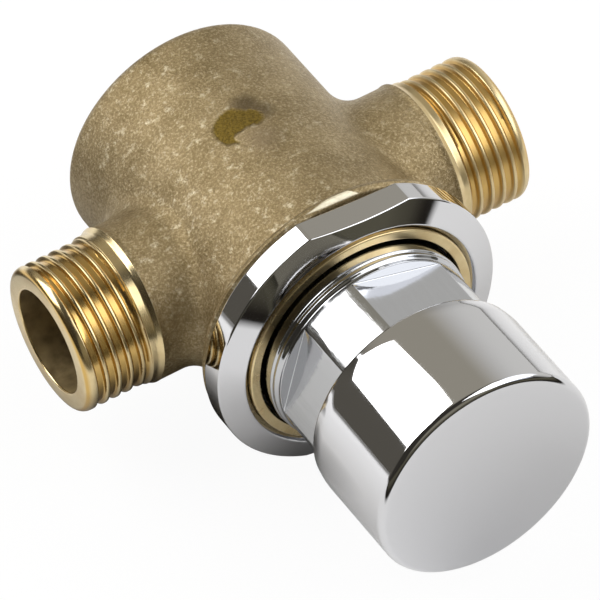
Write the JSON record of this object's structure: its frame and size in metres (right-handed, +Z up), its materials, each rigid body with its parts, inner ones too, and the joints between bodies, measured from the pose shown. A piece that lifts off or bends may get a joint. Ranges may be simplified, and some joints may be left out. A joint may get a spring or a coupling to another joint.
{
  "type": "timed shut-off valve",
  "caption": "Cast brass through-body valve with threaded side ports, a chromed ring nut for a wall plate, and a chromed push button that opens the flow and slowly returns to shut it.",
  "frame": {"origin": "middle of the brass collar's front face on the button axis, where a wall plate seats", "axes": "+X along the ports towards the outlet, -Y forward along the button axis out of the wall, +Z up"},
  "size_m": [0.0692, 0.0762, 0.0418],
  "materials": {
    "cast_brass": "cast, sand-blasted, machined at the ports, collar and rim",
    "turned_brass": "turned",
    "chrome": "polished chromium plate on brass",
    "rubber": "matt",
    "white_plastic": "moulded",
    "steel": "bright stainless"
  },
  "bodies": {
    "valve": {"valve_body": "cast_brass", "ring_nut": "chrome", "bonnet": "chrome", "bonnet_gasket": "rubber", "stem_wiper": "rubber", "stem_o_ring": "rubber", "cartridge_sleeve": "white_plastic", "cartridge_o_ring": "rubber", "spring_seat_washer": "steel", "return_spring": "steel"},
    "plunger": {"button_cap": "chrome", "stem": "turned_brass", "piston": "turned_brass", "piston_lip_seal": "rubber", "piston_circlip": "steel", "timing_jet": "turned_brass", "spring_thrust_washer": "steel", "valve_disc": "rubber", "disc_holder": "turned_brass", "disc_nut": "turned_brass"}
  },
  "joints": [
    {"name": "button_press", "type": "slide", "parent": "valve", "child": "plunger", "axis": [0, 1, 0], "range_m": [0, 0.007], "stiffness_N_per_m": 2000, "springref_m": -0.005, "deforming": ["return_spring"]}
  ]
}
